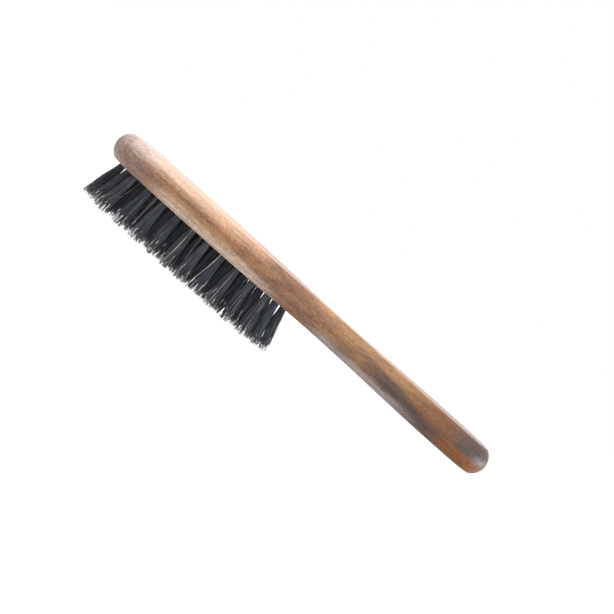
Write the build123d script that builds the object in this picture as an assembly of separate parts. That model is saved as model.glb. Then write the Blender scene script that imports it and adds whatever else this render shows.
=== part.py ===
"""A body dry brush: one wooden handle and head, and the tufts stapled into its drilled holes.

Frame, in millimetres: +X runs from the head to the handle's end, the bristles point down (-Z), and the
origin is under the middle of the length, at the height of the lowest bristle tips.
"""

from build123d import *
import math
import os

# The wood
LENGTH = 240.0
STOCK = 17.04  # thickness of the board before it is planed, a hair more than its two round edges
EDGE_RADIUS = 8.5  # of the round edge that runs all along the outline
HEAD_HALF_WIDTH = 19.0
HEAD_WIDEST = 48.0  # from the head's end
HEAD_END_RADIUS = 17.5
SHOULDER = 60.0  # where the head begins to narrow
HEAD_NARROWING = 100.0
NARROWING_HALF_WIDTH = 15.7
NECK_HALF_WIDTH = 8.8
NECK = 141.0
GRIP_HALF_WIDTH = 14.3
GRIP_WIDEST = 204.0
GRIP_END_RADIUS = 13.2

# The side profile: heights above and depths below the board's mid-plane, places from the head's end
BACK_HEIGHT = 7.7  # of the head's flat back
BACK_FLAT_TO = 80.0
THINNEST = 142.0
THINNEST_HEIGHT = 7.35
GRIP_THICKEST = 205.0
GRIP_HEIGHT = 7.6
END_HEIGHT = 7.3
FACE_DEPTH = 7.1  # of the flat face that holds the bristles
FACE_FLAT_TO = 120.0
GRIP_DEPTH = 7.6
END_DEPTH = 7.0
SOFT_END = 8.0  # where the head's flat back and face begin
END_SOFTENING = 0.7  # how much the back and the face fall away at the head's very end

# The bristles
BRISTLE_REACH = 23.4  # from the head's face down to the lowest tips
MID_PLANE = BRISTLE_REACH + FACE_DEPTH
HOLE_RADIUS = 2.0
HOLE_DEPTH = 10.0
TUFT_RADIUS = 1.95
TIP_RADIUS = 3.0  # where the tuft has flared, at the tips
FAN_ANGLE = 10.0  # lean of the tufts at the two ends of the pad
SIDE_ANGLE = 4.0  # outward lean of the outer rows

# The pad: staggered rows, each named with its steps from the middle, its count of tufts and its first
PITCH = 9.5
ROW_STEP = 5.6
PAD_FIRST = 10.5
PAD_COUNT = 12
PAD_LAST = PAD_FIRST + PITCH * (PAD_COUNT - 1)
ROWS = (("outer", 2), ("inner", 1), ("centre", 0))
ROWS_NARROW_FROM = 60.0
ROWS_NARROWING = 0.3  # of their offset, by the pad's last tuft

# The flat wire anchors
ANCHOR_THICKNESS = 0.3
ANCHOR_HEIGHT = 1.4
ANCHOR_BITE = 0.5  # into the wood at each side of the hole
ANCHOR_LIFT = 0.5  # off the hole's bottom, where the bristles fold round it

# How far a shape that cuts or gets cut runs past the cut
OVERLAP = 2.0


def from_head(distance):
    """The frame's x at this distance from the head's end."""
    return distance - LENGTH / 2


def side_radius(half_length, half_width, end_radius):
    """Radius of the long side arc that bulges to half_width and meets the end arc tangentially."""
    return (half_length**2 + half_width**2 - end_radius**2) / (2 * (half_width - end_radius))


def end_and_side(end_x, inward, widest_x, half_width, end_radius):
    """The end arc and the long side arc of one end of the outline, on the +Y side."""
    end_centre_x = end_x + inward * end_radius
    radius = side_radius(abs(widest_x - end_centre_x), half_width, end_radius)
    side_centre_y = half_width - radius
    share = radius / (radius - end_radius)
    touch_x = widest_x + (end_centre_x - widest_x) * share
    touch_y = side_centre_y * (1 - share)
    half_turn = math.atan2(touch_y, (touch_x - end_centre_x) * -inward) / 2
    middle_x = end_centre_x - inward * end_radius * math.cos(half_turn)
    middle_y = end_radius * math.sin(half_turn)
    side_middle_x = (touch_x + widest_x) / 2
    side_middle_y = side_centre_y + math.sqrt(radius**2 - (side_middle_x - widest_x) ** 2)
    end_arc = ThreePointArc((end_x, 0), (middle_x, middle_y), (touch_x, touch_y))
    side_arc = ThreePointArc((touch_x, touch_y), (side_middle_x, side_middle_y), (widest_x, half_width))
    return end_arc, side_arc


def outline():
    """The brush seen from above, as one closed face."""
    head_x = from_head(HEAD_WIDEST)
    grip_x = from_head(GRIP_WIDEST)
    shoulder = (from_head(SHOULDER), HEAD_HALF_WIDTH)
    narrowing = (from_head(HEAD_NARROWING), NARROWING_HALF_WIDTH)
    neck = (from_head(NECK), NECK_HALF_WIDTH)
    grip = (grip_x, GRIP_HALF_WIDTH)
    along = (1, 0)
    head_end, head_side = end_and_side(from_head(0), 1, head_x, HEAD_HALF_WIDTH, HEAD_END_RADIUS)
    grip_end, grip_side = end_and_side(from_head(LENGTH), -1, grip_x, GRIP_HALF_WIDTH, GRIP_END_RADIUS)
    half = [
        head_end,
        head_side,
        Line((head_x, HEAD_HALF_WIDTH), shoulder),
        Spline(shoulder, narrowing, neck, tangents=(along, along)),
        Spline(neck, grip, tangents=(along, along)),
        grip_side,
        grip_end,
    ]
    mirrored = [mirror(edge, about=Plane.XZ) for edge in half]
    return make_face(Curve() + half + mirrored)


def side_profile():
    """The brush seen from the side, a little thinner at the neck than at the head and the grip."""
    beyond = LENGTH + OVERLAP  # so that the outline alone shapes the handle's end

    def place(distance, height):
        return (from_head(distance), height)

    head_top = place(0, BACK_HEIGHT - END_SOFTENING)
    back_start = place(SOFT_END, BACK_HEIGHT)
    back_end = place(BACK_FLAT_TO, BACK_HEIGHT)
    thin_top = place(THINNEST, THINNEST_HEIGHT)
    grip_top = place(GRIP_THICKEST, GRIP_HEIGHT)
    end_top = place(beyond, END_HEIGHT)
    end_bottom = place(beyond, -END_DEPTH)
    grip_bottom = place(GRIP_THICKEST, -GRIP_DEPTH)
    face_end = place(FACE_FLAT_TO, -FACE_DEPTH)
    face_start = place(SOFT_END, -FACE_DEPTH)
    head_bottom = place(0, END_SOFTENING - FACE_DEPTH)
    edges = [
        Spline(head_top, back_start, tangents=((1, 0.2), (1, 0))),
        Line(back_start, back_end),
        Spline(back_end, thin_top, grip_top, tangents=((1, 0), (1, 0))),
        Spline(grip_top, end_top, tangents=((1, 0), (1, -0.03))),
        Line(end_top, end_bottom),
        Spline(end_bottom, grip_bottom, tangents=((-1, -0.05), (-1, 0))),
        Spline(grip_bottom, face_end, tangents=((-1, 0), (-1, 0))),
        Line(face_end, face_start),
        Spline(face_start, head_bottom, tangents=((-1, 0), (-1, 0.2))),
        Line(head_bottom, head_top),
    ]
    return make_face(Curve() + edges)


def wooden_blank():
    """The wood before drilling: a bull-nosed outline planed to the side profile."""
    board = extrude(outline(), amount=STOCK / 2, both=True)
    rims = board.edges().filter_by_position(Axis.Z, -STOCK / 2, -STOCK / 2)
    rims += board.edges().filter_by_position(Axis.Z, STOCK / 2, STOCK / 2)
    rounded = fillet(rims, EDGE_RADIUS)
    profile = Plane.XZ * side_profile()
    planed = rounded & extrude(profile, amount=HEAD_HALF_WIDTH + OVERLAP, both=True)
    return Pos(0, 0, MID_PLANE) * planed


def row_offset(steps, distance):
    """How far a row lies from the middle at this distance from the head's end."""
    share = max(0.0, distance - ROWS_NARROW_FROM) / (PAD_LAST - ROWS_NARROW_FROM)
    return steps * ROW_STEP * (1 - ROWS_NARROWING * share**2)


def pad_places():
    """Each tuft's name and where it leaves the face."""
    places = []
    for row, steps in ROWS:
        sides = (("near_", -1), ("far_", 1)) if steps else (("", 0),)
        for side, sign in sides:
            for number in range(PAD_COUNT - steps):
                distance = PAD_FIRST + PITCH * (number + steps / 2)
                label = f"tuft_{side}{row}_{number + 1:02d}"
                places.append((label, distance, sign * row_offset(steps, distance)))
    return places


def tuft_plane(distance, y):
    """The tuft's own frame: its origin at the hole's bottom, its Z along the bristles to the tips."""
    middle = (PAD_FIRST + PAD_LAST) / 2
    share = (distance - middle) / (PAD_LAST - middle)
    fan = math.radians(FAN_ANGLE) * share**3
    side = math.radians(SIDE_ANGLE) * y / (2 * ROW_STEP)
    way = Vector(math.sin(fan), math.sin(side), -math.cos(fan) * math.cos(side)).normalized()
    mouth = Vector(from_head(distance), y, BRISTLE_REACH)
    return Plane(origin=mouth - way * HOLE_DEPTH, x_dir=(math.cos(fan), 0, math.sin(fan)), z_dir=way)


def trimmed_space():
    """The space above the tips' plane, higher than the holes, which trims every tuft to length."""
    align = (Align.CENTER, Align.CENTER, Align.MIN)
    return Box(LENGTH, 2 * HEAD_HALF_WIDTH, MID_PLANE + EDGE_RADIUS, align=align)


def hole(plane):
    """The drilled hole, running out past the face."""
    return plane * Cylinder(HOLE_RADIUS, 2 * HOLE_DEPTH, align=(Align.CENTER, Align.CENTER, Align.MIN))


def anchor(plane):
    """The flat wire that holds the folded bristles at the hole's bottom."""
    width = 2 * (HOLE_RADIUS + ANCHOR_BITE)
    wire = Box(ANCHOR_THICKNESS, width, ANCHOR_HEIGHT, align=(Align.CENTER, Align.CENTER, Align.MIN))
    return plane * Pos(0, 0, ANCHOR_LIFT) * wire


def tuft(plane, space):
    """One bundle of bristles: straight in its hole, flared below the face, trimmed at the tips."""
    reach = HOLE_DEPTH + BRISTLE_REACH
    half = Polyline(
        (0, 0),
        (TUFT_RADIUS, 0),
        (TUFT_RADIUS, HOLE_DEPTH),
        (TIP_RADIUS, reach),
        (TIP_RADIUS, reach + OVERLAP),
        (0, reach + OVERLAP),
        close=True,
    )
    bundle = revolve(Plane.XZ * make_face(half), Axis.Z)
    return (plane * bundle & space) - anchor(plane)


def main():
    os.makedirs("parts", exist_ok=True)
    space = trimmed_space()
    planes = {name: tuft_plane(distance, y) for name, distance, y in pad_places()}
    anchors = [anchor(plane) for plane in planes.values()]
    holes = [hole(plane) for plane in planes.values()]
    body = wooden_blank() - holes - anchors
    export_step(body, "parts/handle_body.step")
    export_step(Compound(children=anchors), "parts/tuft_anchors.step")
    for name, plane in planes.items():
        export_step(tuft(plane, space), f"parts/{name}.step")


main()
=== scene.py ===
"""The looks of the body dry brush: lacquered wood, real bristles in every tuft, and a white studio."""

import math
import random
from typing import NamedTuple

import bpy
from mathutils import Matrix, Vector

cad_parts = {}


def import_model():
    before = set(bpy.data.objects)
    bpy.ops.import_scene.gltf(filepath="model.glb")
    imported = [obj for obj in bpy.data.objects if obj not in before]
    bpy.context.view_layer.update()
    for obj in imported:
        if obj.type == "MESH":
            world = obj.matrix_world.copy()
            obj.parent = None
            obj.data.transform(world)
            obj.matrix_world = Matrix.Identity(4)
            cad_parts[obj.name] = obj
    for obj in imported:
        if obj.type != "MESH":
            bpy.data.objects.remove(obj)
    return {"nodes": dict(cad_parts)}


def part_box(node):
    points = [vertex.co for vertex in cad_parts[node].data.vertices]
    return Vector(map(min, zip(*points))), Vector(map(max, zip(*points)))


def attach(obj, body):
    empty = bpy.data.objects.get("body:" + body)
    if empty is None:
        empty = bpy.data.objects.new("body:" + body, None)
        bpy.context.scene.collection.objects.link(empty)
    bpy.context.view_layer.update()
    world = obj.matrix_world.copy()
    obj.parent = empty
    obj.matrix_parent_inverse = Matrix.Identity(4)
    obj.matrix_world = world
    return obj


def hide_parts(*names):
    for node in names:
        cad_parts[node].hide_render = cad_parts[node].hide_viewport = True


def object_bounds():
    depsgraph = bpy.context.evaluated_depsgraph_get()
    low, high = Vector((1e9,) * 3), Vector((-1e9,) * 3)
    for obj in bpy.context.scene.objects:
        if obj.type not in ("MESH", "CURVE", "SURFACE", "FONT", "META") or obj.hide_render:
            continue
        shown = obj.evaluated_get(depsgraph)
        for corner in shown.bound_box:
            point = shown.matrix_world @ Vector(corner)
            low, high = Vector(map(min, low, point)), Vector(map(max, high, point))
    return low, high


SEED = 7

# The camera looks along +Y from a little above, rolled so that the head is at the upper left
CAMERA_ELEVATION = math.radians(5.0)
CAMERA_ROLL = math.radians(41.72)
CAMERA_TURN = math.radians(1.7)  # round the brush, towards the handle
CAMERA_DISTANCE = 0.95
VIEW_WIDTH = 0.2995  # what the picture's width shows at the brush
SENSOR_MM = 36.0
AIM_ALONG = 0.0036  # from the middle of the brush towards the handle's end
AIM_RISE = 0.00046  # above the middle of the wood

# Bristles
BRISTLE_REACH = 0.0234  # from the tips up to the face that holds them
ROOT_RADIUS = 0.00178  # of the bundle where it leaves its hole
BRISTLES = 190  # in a tuft
BRISTLE_RADIUS = 0.000095
PALE_STOUTNESS = 1.7  # how much thicker the bristles are that are cream, tan or pale at the tip
TAPER = 0.5  # how much of its radius a bristle loses by its tip
PALE_TAPER = 0.1  # and one whose tip is pale, because it is split there
TAPER_LATENESS = 3
BRISTLE_SIDES = 5
BRISTLE_SHARES = (0.0, 0.2, 0.4, 0.6, 0.78, 0.9, 1.0)  # of its length, where a bristle bends
HIDDEN = 0.0025  # how far each bristle runs up into its hole
FLARE = 1.34  # how much wider a tuft is at its tips than at its root
FLARE_LATENESS = 1.3  # 1 for a straight flare, more for one that opens towards the tips
CLUMPS = 14  # that a tuft's bristles gather into
CLUMP_SPREAD = 1.12  # how far out the clumps lie, as a share of the tuft's radius
GATHER = 0.86  # how far a bristle leans to its clump by the tip
GATHER_LATENESS = 3
DOME = 0.0002  # how much shorter a tuft's outermost bristles end
CLUMP_RAGGED = 0.0012  # spread of how much shorter a clump ends; half of the clumps are full length
RAGGED = 0.00025  # how much shorter a bristle ends, on average
SHORT_SHARE = 0.30  # bristles that are clearly shorter
SHORT_BY = 0.0060  # at most
WANDER = 0.00032  # how far a bristle strays sideways by its tip
WANDER_LATENESS = 1.5
BOW = 0.00018  # how far it bows to one side on the way
ROOT_SQUEEZE = 0.96  # how tightly the roots sit inside the hole
STRAY_SHARE = 0.03  # bristles that lean well away from their place
STRAY_REACH = 0.0034  # at most
STRAY_LEAST = 0.3  # of that reach
STRAY_PALE_SHARE = 0.20
PALE_SHARE = 0.006  # bristles that are cream from root to tip
TAN_SHARE = 0.006
BROWN_SHARE = 0.03
GREY_SHARE = 0.45
PALE_CLUMP_SHARE = 0.18  # clumps whose bristles mostly end in pale tips
PALE_TIP_SHARE_THERE = 0.65
PALE_TIP_SHARE_ELSEWHERE = 0.09
PALE_TIP_STEPS = (1, 1, 1, 2)  # how many of a bristle's steps are pale then
BRISTLE_DARKEST = 0.65  # how much a bristle's colour varies along it
BRISTLE_LIGHTEST = 1.35
NEAR_HOLE_END = 0.0009  # how near a CAD tuft's points are to its top if they belong to that end
NEAR_TIPS = 0.0012

# Light: the world from the camera's side (0) to behind the brush (1), and from the level (0) up (1)
WORLD_SHED = 2.0  # the strength of those levels
WORLD_BACKWARDS = ((0.0, 0.36), (0.5, 0.17), (0.85, 0.28), (1.0, 1.0))
WORLD_OVERHEAD = ((0.4, 0.0), (0.9, 0.22))
FLOOR_SEEN = 0.95  # how strongly it glows to the camera
FLOOR_SHED = 0.38  # and to the brush
FLOOR_GREY = 0.30
FLOOR_HALF = 2.0  # of its width
FLOOR_DROP = 0.0002  # below the lowest tips

# The lamps, placed from the middle of the wood
KEY_PLACE = (-0.18, -0.02, 0.28)
KEY_SIZE = (0.20, 0.30)
KEY_WATTS = 1.50
KEY_COLOUR = (1.0, 0.98, 0.98)
SIDE_PLACE = (0.44, -0.05, 0.005)
SIDE_AIM = (0.115, 0, 0)
SIDE_SIZE = (0.46, 0.10)
SIDE_WATTS = 1.35
SIDE_COLOUR = (0.94, 0.95, 1.0)

# The wood's growth rings run round a line along X, at this place below and behind the brush
PITH_Y = 0.030
PITH_Z = -0.035
RING_SPACING = 0.0034
RING_SWEEP = 0.011  # how far the rings bend in long waves
RING_RIPPLE = 0.0020  # and in short ones
RING_TONES = ((0.00, 1.04), (0.55, 1.00), (0.88, 0.88), (1.00, 1.02))

# The wood's lacquer, and the relief of its pores and fibres
WOOD_SPECULAR = 0.38
WOOD_COAT = 0.60
WOOD_COAT_ROUGHNESS = 0.44
WOOD_ROUGHNESS = ((0.3, 0.46), (0.7, 0.58))  # over the noise of the fibres
RELIEF_STRENGTH = 0.22
RELIEF_DEPTH = 0.00012

# The wood's colour from the head's end (0) to the handle's end (1); the greyer first two stops are a
# painted soft highlight over the head's end
TONE_SWAY = 0.16  # how unevenly one colour passes to the next
TONES_ALONG = (
    (0.00, (0.310, 0.275, 0.262)),
    (0.04, (0.330, 0.250, 0.215)),
    (0.13, (0.390, 0.215, 0.130)),
    (0.30, (0.430, 0.225, 0.118)),
    (0.44, (0.262, 0.116, 0.064)),
    (0.50, (0.258, 0.118, 0.064)),
    (0.57, (0.330, 0.158, 0.074)),
    (0.64, (0.300, 0.140, 0.060)),
    (0.88, (0.240, 0.092, 0.030)),
    (1.00, (0.190, 0.082, 0.036)),
)
GOLDEN_ALONG = ((0.10, 0.2), (0.20, 1.0), (0.36, 0.8), (0.46, 0.2), (0.60, 0.6), (0.90, 0.0))
GOLDEN_WOOD = (0.520, 0.290, 0.115)
DARK_WOOD = (0.170, 0.080, 0.050)
# A painted dark reflection on the rim of the head's end, and how far along it reaches
HEAD_END_PAINTED_DARK_REFLECTION = (0.074, 0.068, 0.070)
HEAD_END_PAINTED_DARK_REFLECTION_ALONG = ((0.0, 0.95), (0.018, 0.0))
GOLDEN_BLOTCHES = ((0.44, 0.0), (0.66, 0.85))
DARK_BLOTCHES = ((0.30, 0.65), (0.48, 0.0))
STREAK_FADE = ((0.0, 1.0), (0.35, 0.80), (1.0, 0.0))  # from a streak's line to its reach


class Grain(NamedTuple):
    """A layer of fine grain: stretched noise, and how much it darkens and lightens the wood."""

    scale: tuple
    shift: tuple
    detail: float
    roughness: float
    dark: tuple  # a value of the noise, and the tone's factor there
    light: tuple


LINES = Grain((38, 680, 680), (1, 2, 3), 5.0, 0.62, (0.32, 0.80), (0.68, 1.20))
MOTTLE = Grain((780, 900, 900), (1, 2, 3), 3.0, 0.65, (0.30, 0.80), (0.70, 1.20))
PORES = Grain((420, 2200, 2200), (0, 0, 0), 2.0, 0.60, (0.32, 0.60), (0.46, 1.00))
FIBRES = Grain((120, 1900, 1900), (4, 4, 4), 5.0, 0.70, (0.25, 0.89), (0.75, 1.10))


class Streak(NamedTuple):
    """One long band along the wood, for a streak in its grain and for painted shade and painted reflections
    alike; its zone is where along the piece it starts, is full, fades and ends.
    """

    level: float  # its height where the zone starts
    rise: float  # how much it would rise over the whole length
    reach: float  # how far it spreads up and down
    wander: float
    zone: tuple
    strength: float
    colour: tuple


STREAKS_AND_PAINTED_LIGHT = (
    # The painted shade round the head's end, the dark line along the head, and the gold under it
    Streak(0.0285, 0.0, 0.0054, 0.004, (0.00, 0.03, 0.10, 0.17), 0.75, (0.245, 0.125, 0.082)),
    Streak(0.0317, 0.0, 0.0019, 0.005, (0.06, 0.13, 0.32, 0.46), 0.82, (0.285, 0.115, 0.045)),
    Streak(0.0278, 0.0, 0.0032, 0.006, (0.12, 0.20, 0.30, 0.42), 0.80, (0.540, 0.320, 0.150)),
    # Gold along the top of the handle, and the grey-brown heartwood that falls across it
    Streak(0.0362, -0.002, 0.0038, 0.004, (0.50, 0.60, 0.74, 0.86), 0.50, (0.480, 0.250, 0.095)),
    Streak(0.0326, -0.0280, 0.0056, 0.006, (0.63, 0.75, 0.85, 0.93), 0.92, (0.078, 0.052, 0.048)),
    # A pale painted reflection along the head's lower edge, and a greyer one along the neck's lower edge
    Streak(0.0228, 0.0, 0.0066, 0.005, (0.09, 0.20, 0.37, 0.49), 0.90, (0.800, 0.615, 0.500)),
    Streak(0.0229, 0.0, 0.0056, 0.004, (0.52, 0.60, 0.74, 0.86), 0.90, (0.470, 0.400, 0.395)),
    # A painted dark reflection on the top of the handle's end, and the amber under it
    Streak(0.0338, 0.0, 0.0060, 0.004, (0.87, 0.95, 0.99, 1.00), 0.90, (0.084, 0.068, 0.070)),
    Streak(0.0245, 0.0, 0.0062, 0.008, (0.85, 0.92, 0.97, 1.00), 1.00, (0.260, 0.080, 0.010)),
)


# Which of a Mix node's sockets are the ones for colours
MIX_FACTOR = 0
MIX_FIRST = 6
MIX_SECOND = 7
MIX_RESULT = 2


def link(tree, source, target):
    """Joins one socket to another."""
    tree.links.new(source, target)


def node(tree, kind, **values):
    """A shader node with its plain properties set."""
    made = tree.nodes.new(kind)
    for name, value in values.items():
        setattr(made, name, value)
    return made


def new_material(name):
    """An empty node material: its tree, its Principled shader and the piece's own coordinates."""
    material = bpy.data.materials.new(name)
    material.use_nodes = True
    tree = material.node_tree
    tree.nodes.clear()
    output = node(tree, "ShaderNodeOutputMaterial")
    shader = node(tree, "ShaderNodeBsdfPrincipled")
    link(tree, shader.outputs["BSDF"], output.inputs["Surface"])
    place = node(tree, "ShaderNodeTexCoord").outputs["Object"]
    return material, tree, shader, place


def stretched(tree, place, scale, shift=(0.0, 0.0, 0.0)):
    """The coordinates scaled by a different amount along each axis, in cells of noise to the metre."""
    mapping = node(tree, "ShaderNodeMapping")
    mapping.inputs["Scale"].default_value = scale
    mapping.inputs["Location"].default_value = shift
    link(tree, place, mapping.inputs["Vector"])
    return mapping.outputs["Vector"]


def noise(tree, vector, detail, roughness=0.55):
    """Noise of scale 1 on already scaled coordinates."""
    made = node(tree, "ShaderNodeTexNoise")
    made.inputs["Scale"].default_value = 1.0
    made.inputs["Detail"].default_value = detail
    made.inputs["Roughness"].default_value = roughness
    link(tree, vector, made.inputs["Vector"])
    return made.outputs["Fac"]


def ramp(tree, value, stops):
    """A smooth colour ramp from (place, colour) stops; a colour may be one number."""
    made = node(tree, "ShaderNodeValToRGB")
    made.color_ramp.interpolation = "EASE"
    elements = made.color_ramp.elements
    while len(elements) < len(stops):
        elements.new(0.5)
    for element, (place, colour) in zip(elements, stops):
        element.position = place
        element.color = (colour, colour, colour, 1) if isinstance(colour, float) else (*colour, 1)
    link(tree, value, made.inputs["Fac"])
    return made.outputs["Color"]


def mix(tree, factor, first, second, blend="MIX"):
    """Two colours mixed; the factor and the second colour may be plain values."""
    made = node(tree, "ShaderNodeMix", data_type="RGBA", blend_type=blend)
    for index, value in ((MIX_FACTOR, factor), (MIX_FIRST, first), (MIX_SECOND, second)):
        socket = made.inputs[index]
        if isinstance(value, bpy.types.NodeSocket):
            link(tree, value, socket)
        elif isinstance(value, float):
            socket.default_value = value
        else:
            socket.default_value = (*value, 1)
    return made.outputs[MIX_RESULT]


def maths(tree, operation, *values):
    """One Math node on sockets or plain numbers."""
    made = node(tree, "ShaderNodeMath", operation=operation)
    for socket, value in zip(made.inputs, values):
        if isinstance(value, bpy.types.NodeSocket):
            link(tree, value, socket)
        else:
            socket.default_value = value
    return made.outputs[0]


def ring_phase(tree, place, split):
    """Where a point lies between two growth rings, from 0 to 1, with the rings bent by noise."""
    section = node(tree, "ShaderNodeCombineXYZ")
    link(tree, maths(tree, "SUBTRACT", split.outputs["Y"], PITH_Y), section.inputs["Y"])
    link(tree, maths(tree, "SUBTRACT", split.outputs["Z"], PITH_Z), section.inputs["Z"])
    reach = node(tree, "ShaderNodeVectorMath", operation="LENGTH")
    link(tree, section.outputs["Vector"], reach.inputs[0])
    sweep = noise(tree, stretched(tree, place, (9, 22, 22), (2, 6, 4)), detail=2.0)
    ripple = noise(tree, stretched(tree, place, (45, 120, 120), (7, 3, 1)), detail=3.0)
    bent = maths(tree, "ADD", reach.outputs["Value"], maths(tree, "MULTIPLY", sweep, RING_SWEEP))
    bent = maths(tree, "ADD", bent, maths(tree, "MULTIPLY", ripple, RING_RIPPLE))
    return maths(tree, "FRACT", maths(tree, "DIVIDE", bent, RING_SPACING))


def streak(tree, place, along, height, line):
    """How strongly one long band shows, a grain streak and a band of painted light alike: a wavering line
    at a height, over a zone of the length.
    """
    own_shift = (line.level * 1000, 3, 1)  # so that each streak wavers in its own way
    waver = noise(tree, stretched(tree, place, (28, 70, 90), own_shift), detail=5.0, roughness=0.6)
    shift = maths(tree, "MULTIPLY", maths(tree, "SUBTRACT", waver, 0.5), line.wander)
    slope = maths(tree, "MULTIPLY", maths(tree, "SUBTRACT", along, line.zone[0]), line.rise)
    off_line = maths(tree, "SUBTRACT", height, maths(tree, "ADD", slope, line.level))
    away = maths(tree, "ABSOLUTE", maths(tree, "ADD", off_line, shift))
    near = ramp(tree, maths(tree, "DIVIDE", away, line.reach), STREAK_FADE)
    starts, full, fades, ends = line.zone
    here = ramp(tree, along, ((starts, 0.0), (full, 1.0), (fades, 1.0), (ends, 0.0)))
    return maths(tree, "MULTIPLY", maths(tree, "MULTIPLY", near, here), line.strength)


def wood_tone(tree, place, along, height):
    """The broad colours from the head to the handle's end, before the grain, with painted shade and painted
    reflections at the ends and along the lower edges, and a painted highlight on the head's end.
    """
    drift = noise(tree, stretched(tree, place, (14, 60, 60)), detail=3.0)
    sway = maths(tree, "MULTIPLY", maths(tree, "SUBTRACT", drift, 0.5), TONE_SWAY)
    tone = ramp(tree, maths(tree, "ADD", along, sway), TONES_ALONG)
    blotches = noise(tree, stretched(tree, place, (60, 300, 300), (3, 1, 7)), detail=7.0, roughness=0.70)
    golden = maths(tree, "MULTIPLY", ramp(tree, blotches, GOLDEN_BLOTCHES), ramp(tree, along, GOLDEN_ALONG))
    tone = mix(tree, golden, tone, GOLDEN_WOOD)
    tone = mix(tree, ramp(tree, blotches, DARK_BLOTCHES), tone, DARK_WOOD)
    # Streaks in the grain, and bands of painted shade and painted reflection, one over another
    for line in STREAKS_AND_PAINTED_LIGHT:
        tone = mix(tree, streak(tree, place, along, height, line), tone, line.colour)
    # A painted dark reflection on the rim of the head's end
    return mix(tree, ramp(tree, along, HEAD_END_PAINTED_DARK_REFLECTION_ALONG), tone, HEAD_END_PAINTED_DARK_REFLECTION)


def grain(tree, place, layer):
    """The noise of one layer of grain."""
    return noise(tree, stretched(tree, place, layer.scale, layer.shift), layer.detail, layer.roughness)


def grained(tree, tone, pattern, layer):
    """The tone, darkened and lightened by one layer's pattern."""
    return mix(tree, 1.0, tone, ramp(tree, pattern, (layer.dark, layer.light)), "MULTIPLY")


def wood_material(low, high):
    """Brown satin-lacquered hardwood with its grain along X, and painted shade and painted reflections, for
    a piece that fills this box.
    """
    material, tree, shader, place = new_material("lacquered_wood")
    split = node(tree, "ShaderNodeSeparateXYZ")
    link(tree, place, split.inputs["Vector"])
    along = maths(tree, "DIVIDE", maths(tree, "SUBTRACT", split.outputs["X"], low.x), high.x - low.x)

    tone = wood_tone(tree, place, along, split.outputs["Z"])
    rings = ramp(tree, ring_phase(tree, place, split), RING_TONES)
    tone = mix(tree, 1.0, tone, rings, "MULTIPLY")
    pores = grain(tree, place, PORES)
    fibres = grain(tree, place, FIBRES)
    tone = grained(tree, tone, grain(tree, place, LINES), LINES)
    tone = grained(tree, tone, grain(tree, place, MOTTLE), MOTTLE)
    tone = grained(tree, tone, pores, PORES)
    tone = grained(tree, tone, fibres, FIBRES)
    link(tree, tone, shader.inputs["Base Color"])

    link(tree, ramp(tree, fibres, WOOD_ROUGHNESS), shader.inputs["Roughness"])
    both = maths(tree, "ADD", fibres, pores)
    bump = node(tree, "ShaderNodeBump")
    bump.inputs["Strength"].default_value = RELIEF_STRENGTH
    bump.inputs["Distance"].default_value = RELIEF_DEPTH
    link(tree, maths(tree, "MULTIPLY", both, 0.5), bump.inputs["Height"])
    link(tree, bump.outputs["Normal"], shader.inputs["Normal"])
    shader.inputs["Specular IOR Level"].default_value = WOOD_SPECULAR
    shader.inputs["Coat Weight"].default_value = WOOD_COAT
    shader.inputs["Coat Roughness"].default_value = WOOD_COAT_ROUGHNESS
    return material


def bristle_material(name, colour, roughness):
    """One colour of bristle, a little uneven along its length."""
    material, tree, shader, place = new_material(name)
    unevenness = noise(tree, stretched(tree, place, (900, 900, 130)), detail=2.0)
    darker = tuple(BRISTLE_DARKEST * part for part in colour)
    lighter = tuple(BRISTLE_LIGHTEST * part for part in colour)
    link(tree, ramp(tree, unevenness, ((0.3, darker), (0.7, lighter))), shader.inputs["Base Color"])
    shader.inputs["Roughness"].default_value = roughness
    return material


def bristle_materials():
    """Every colour that the bristles come in, in the order of the tufts' material slots."""
    return (
        bristle_material("bristle_black", (0.050, 0.057, 0.069), 0.40),
        bristle_material("bristle_grey", (0.104, 0.117, 0.140), 0.42),
        bristle_material("bristle_brown", (0.095, 0.075, 0.062), 0.46),
        bristle_material("bristle_tan", (0.330, 0.230, 0.140), 0.50),
        bristle_material("bristle_cream", (0.640, 0.590, 0.500), 0.50),
        bristle_material("bristle_tip", (0.970, 0.955, 0.920), 0.50),
    )


BLACK, GREY, BROWN, TAN, CREAM, TIP = range(6)


def wire_material():
    """Drawn steel wire, scratched along Y."""
    material, tree, shader, place = new_material("anchor_wire")
    scratches = noise(tree, stretched(tree, place, (9000, 600, 9000)), detail=3.0)
    steel = ramp(tree, scratches, ((0.3, (0.42, 0.42, 0.44)), (0.7, (0.66, 0.66, 0.68))))
    link(tree, steel, shader.inputs["Base Color"])
    link(tree, ramp(tree, scratches, ((0.3, 0.28), (0.7, 0.46))), shader.inputs["Roughness"])
    shader.inputs["Metallic"].default_value = 1.0
    return material


def tuft_line(cad_tuft):
    """The middle of the tuft's two ends: in its hole, and at its tips."""
    points = [vertex.co for vertex in cad_tuft.data.vertices]
    highest = max(point.z for point in points)
    lowest = min(point.z for point in points)
    inside = [point for point in points if point.z > highest - NEAR_HOLE_END]
    tips = [point for point in points if point.z < lowest + NEAR_TIPS]
    return sum(inside, Vector()) / len(inside), sum(tips, Vector()) / len(tips)


def bristle_colour(draw, is_stray):
    """The colour slot that this random number falls to."""
    limits = ((PALE_SHARE, CREAM), (TAN_SHARE, TAN), (BROWN_SHARE, BROWN), (GREY_SHARE, GREY))
    reached = STRAY_PALE_SHARE if is_stray else 0.0
    if draw < reached:
        return CREAM
    for share, colour in limits:
        reached += share
        if draw < reached:
            return colour
    return BLACK


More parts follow.
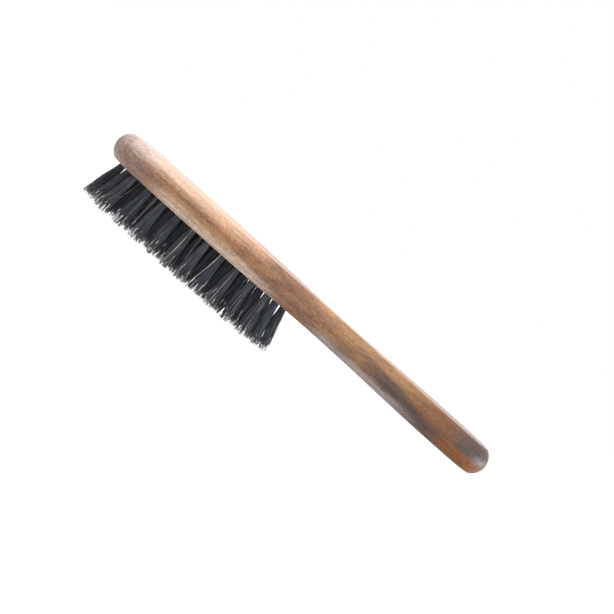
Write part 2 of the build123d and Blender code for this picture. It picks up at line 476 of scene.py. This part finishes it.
def add_bristle(points, colour, pale_steps, vertices, faces, slots):
    """One tapering tube along the points, closed at the tip, its last steps pale."""
    first = len(vertices)
    last_step = len(points) - 1
    root_radius = BRISTLE_RADIUS * (PALE_STOUTNESS if pale_steps or colour in (TAN, CREAM) else 1.0)
    taper = PALE_TAPER if pale_steps else TAPER
    for step, point in enumerate(points):
        ahead = points[min(step + 1, last_step)] - points[max(step - 1, 0)]
        side = ahead.orthogonal().normalized()
        across = ahead.cross(side).normalized()
        radius = root_radius * (1.0 - taper * (step / last_step) ** TAPER_LATENESS)
        for corner in range(BRISTLE_SIDES):
            angle = 2 * math.pi * corner / BRISTLE_SIDES
            vertices.append(point + radius * (math.cos(angle) * side + math.sin(angle) * across))
    for step in range(last_step):
        for corner in range(BRISTLE_SIDES):
            beside = (corner + 1) % BRISTLE_SIDES
            low_ring = first + step * BRISTLE_SIDES
            high_ring = low_ring + BRISTLE_SIDES
            faces.append((low_ring + corner, low_ring + beside, high_ring + beside, high_ring + corner))
            slots.append(TIP if step >= last_step - pale_steps else colour)
    faces.append(tuple(first + last_step * BRISTLE_SIDES + corner for corner in range(BRISTLE_SIDES)))
    slots.append(TIP if pale_steps else colour)


class Tuft:
    """Where a tuft's bristles leave the face, which way they run, and how they gather."""

    def __init__(self, cad_tuft, face_z, floor_z, chance):
        inside, tip = tuft_line(cad_tuft)
        self.way = (tip - inside).normalized()
        self.side = self.way.orthogonal().normalized()
        self.across = self.way.cross(self.side)
        self.mouth = inside + self.way * ((inside.z - face_z) / -self.way.z)
        self.lowest = floor_z + PALE_STOUTNESS * BRISTLE_RADIUS
        self.clumps = [self.clump(chance) for _ in range(CLUMPS)]

    def any_side(self, chance):
        """A random direction, square to the tuft."""
        angle = chance.uniform(0, 2 * math.pi)
        return math.cos(angle) * self.side + math.sin(angle) * self.across

    def in_disc(self, chance):
        """A random place in a disc of radius 1, square to the tuft."""
        return math.sqrt(chance.random()) * self.any_side(chance)

    def clump(self, chance):
        """A place where bristles gather, how much shorter they are there, and their share of pale tips."""
        is_pale = chance.random() < PALE_CLUMP_SHARE
        pale_share = PALE_TIP_SHARE_THERE if is_pale else PALE_TIP_SHARE_ELSEWHERE
        short = max(0.0, chance.gauss(0, CLUMP_RAGGED))
        return CLUMP_SPREAD * self.in_disc(chance), short, pale_share

    def bristle(self, chance, is_stray):
        """One bristle's middle line, from inside its hole to its tip, and its number of pale steps."""
        start = self.in_disc(chance)
        clump, clump_short, pale_share = min(self.clumps, key=lambda one: (one[0] - start).length)
        pale_steps = chance.choice(PALE_TIP_STEPS) if chance.random() < pale_share else 0
        end = start.lerp(clump, GATHER)
        drift = self.any_side(chance) * chance.gauss(0, WANDER)
        if is_stray:
            drift = self.any_side(chance) * chance.uniform(STRAY_LEAST, 1.0) * STRAY_REACH
        bow = self.any_side(chance) * BOW
        short = clump_short + DOME * start.length_squared + chance.expovariate(1 / RAGGED)
        if chance.random() < SHORT_SHARE:
            short += chance.uniform(0, SHORT_BY)

        radius = ROOT_RADIUS - BRISTLE_RADIUS
        tip_offset = end * radius * (1 + FLARE) + drift
        length = (self.mouth.z + tip_offset.z - self.lowest - short) / -self.way.z
        points = [self.mouth - self.way * HIDDEN + start * radius * ROOT_SQUEEZE]
        for share in BRISTLE_SHARES:
            flared = radius * (1 + FLARE * share**FLARE_LATENESS)
            spread = start.lerp(end, share**GATHER_LATENESS) * flared
            bend = drift * share**WANDER_LATENESS + bow * math.sin(math.pi * share)
            points.append(self.mouth + self.way * share * length + spread + bend)
        return points, pale_steps


def make_tuft(name, cad_tuft, face_z, floor_z, materials):
    """The bundle of bristles that stands for one CAD tuft."""
    chance = random.Random(f"{SEED} {name}")
    tuft = Tuft(cad_tuft, face_z, floor_z, chance)
    vertices, faces, slots = [], [], []
    for _ in range(BRISTLES):
        is_stray = chance.random() < STRAY_SHARE
        points, pale_steps = tuft.bristle(chance, is_stray)
        colour = bristle_colour(chance.random(), is_stray)
        add_bristle(points, colour, pale_steps, vertices, faces, slots)
    mesh = bpy.data.meshes.new(name)
    mesh.from_pydata(vertices, [], faces)
    for material in materials:
        mesh.materials.append(material)
    mesh.polygons.foreach_set("material_index", slots)
    mesh.polygons.foreach_set("use_smooth", [True] * len(faces))
    mesh.update()
    piece = bpy.data.objects.new(f"{name}_bristles", mesh)
    bpy.context.collection.objects.link(piece)
    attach(piece, "root")
    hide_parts(name)


def paint(cad_object, material):
    """Gives a CAD node that keeps its shape its finished material."""
    cad_object.data.materials.clear()
    cad_object.data.materials.append(material)


def add_camera(middle):
    """The photograph's view of the brush."""
    data = bpy.data.cameras.new("camera")
    data.sensor_width = SENSOR_MM
    data.lens = SENSOR_MM * CAMERA_DISTANCE / VIEW_WIDTH
    data.clip_start = 0.01
    camera = bpy.data.objects.new("camera", data)
    bpy.context.collection.objects.link(camera)
    aim = middle + Vector((AIM_ALONG, 0, AIM_RISE))
    level = Vector((math.cos(CAMERA_TURN), math.sin(CAMERA_TURN), 0))
    ahead = Vector((-math.sin(CAMERA_TURN), math.cos(CAMERA_TURN), 0))
    back = math.sin(CAMERA_ELEVATION) * Vector((0, 0, 1)) - math.cos(CAMERA_ELEVATION) * ahead
    up = back.cross(level)
    right = math.cos(CAMERA_ROLL) * level + math.sin(CAMERA_ROLL) * up
    top = -math.sin(CAMERA_ROLL) * level + math.cos(CAMERA_ROLL) * up
    turn = Matrix((right, top, back)).transposed().to_4x4()
    camera.matrix_world = Matrix.Translation(aim + back * CAMERA_DISTANCE) @ turn
    bpy.context.scene.camera = camera


def add_light(name, place, aim, size, power, colour):
    """A soft rectangular light."""
    data = bpy.data.lights.new(name, "AREA")
    data.shape = "RECTANGLE"
    data.size, data.size_y = size
    data.energy = power
    data.color = colour
    lamp = bpy.data.objects.new(name, data)
    bpy.context.collection.objects.link(lamp)
    lamp.location = place
    lamp.rotation_euler = (place - aim).to_track_quat("Z", "Y").to_euler()


def to_camera_or_else(tree, seen, shed):
    """One shader for what the camera sees, and another for the light that is shed."""
    choice = node(tree, "ShaderNodeMixShader")
    link(tree, node(tree, "ShaderNodeLightPath").outputs["Is Camera Ray"], choice.inputs[0])
    link(tree, shed, choice.inputs[1])
    link(tree, seen, choice.inputs[2])
    return choice.outputs[0]


def glow(tree, strength):
    """A plain white glow."""
    emission = node(tree, "ShaderNodeEmission")
    emission.inputs["Strength"].default_value = strength
    return emission.outputs[0]


def add_floor(floor_z):
    """A glowing white table top, a hair under the tips."""
    signs = ((-1, -1), (1, -1), (1, 1), (-1, 1))
    corners = [(x * FLOOR_HALF, y * FLOOR_HALF, floor_z - FLOOR_DROP) for x, y in signs]
    mesh = bpy.data.meshes.new("floor")
    mesh.from_pydata(corners, [], [(0, 1, 2, 3)])
    floor = bpy.data.objects.new("floor", mesh)
    bpy.context.collection.objects.link(floor)
    material = bpy.data.materials.new("floor")
    material.use_nodes = True
    tree = material.node_tree
    tree.nodes.clear()

    white = node(tree, "ShaderNodeBsdfDiffuse")
    white.inputs["Color"].default_value = (FLOOR_GREY, FLOOR_GREY, FLOOR_GREY, 1)
    both = node(tree, "ShaderNodeAddShader")
    link(tree, white.outputs[0], both.inputs[0])
    link(tree, to_camera_or_else(tree, glow(tree, FLOOR_SEEN), glow(tree, FLOOR_SHED)), both.inputs[1])
    output = node(tree, "ShaderNodeOutputMaterial")
    link(tree, both.outputs[0], output.inputs["Surface"])
    mesh.materials.append(material)


def add_world():
    """White to the camera; the light it sheds comes mostly from behind the brush."""
    world = bpy.data.worlds.new("studio")
    bpy.context.scene.world = world
    world.use_nodes = True
    tree = world.node_tree
    tree.nodes.clear()
    split = node(tree, "ShaderNodeSeparateXYZ")
    link(tree, node(tree, "ShaderNodeTexCoord").outputs["Generated"], split.inputs["Vector"])
    backwards = maths(tree, "MULTIPLY_ADD", split.outputs["Y"], 0.5, 0.5)
    level = ramp(tree, backwards, WORLD_BACKWARDS)
    overhead = ramp(tree, split.outputs["Z"], WORLD_OVERHEAD)
    shed = node(tree, "ShaderNodeBackground")
    link(tree, mix(tree, 1.0, level, overhead, "ADD"), shed.inputs["Color"])
    shed.inputs["Strength"].default_value = WORLD_SHED
    seen = node(tree, "ShaderNodeBackground")
    seen.inputs["Color"].default_value = (1, 1, 1, 1)
    output = node(tree, "ShaderNodeOutputWorld")
    link(tree, to_camera_or_else(tree, seen.outputs[0], shed.outputs[0]), output.inputs["Surface"])


def add_lights(middle):
    """A soft light above the head, and a low wide one to the right that the handle's end reflects."""
    above_head = middle + Vector(KEY_PLACE)
    below_it = above_head - Vector((0, 0, 1))
    beside_handle = middle + Vector(SIDE_PLACE)
    handle_end = middle + Vector(SIDE_AIM)
    add_light("key", above_head, below_it, KEY_SIZE, KEY_WATTS, KEY_COLOUR)
    add_light("side", beside_handle, handle_end, SIDE_SIZE, SIDE_WATTS, SIDE_COLOUR)


def main():
    """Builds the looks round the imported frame."""
    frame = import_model()
    cad_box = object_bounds()
    wood_low, wood_high = (Vector(corner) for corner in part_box("handle_body"))
    floor_z = Vector(cad_box[0]).z
    paint(frame["nodes"]["handle_body"], wood_material(wood_low, wood_high))
    paint(frame["nodes"]["tuft_anchors"], wire_material())
    materials = bristle_materials()
    for name, cad_tuft in sorted(frame["nodes"].items()):
        if name.startswith("tuft_") and name != "tuft_anchors":
            make_tuft(name, cad_tuft, floor_z + BRISTLE_REACH, floor_z, materials)
    middle = (wood_low + wood_high) / 2
    add_camera(middle)
    add_lights(middle)
    add_floor(floor_z)
    add_world()
    bpy.context.scene.view_settings.view_transform = "Standard"


main()
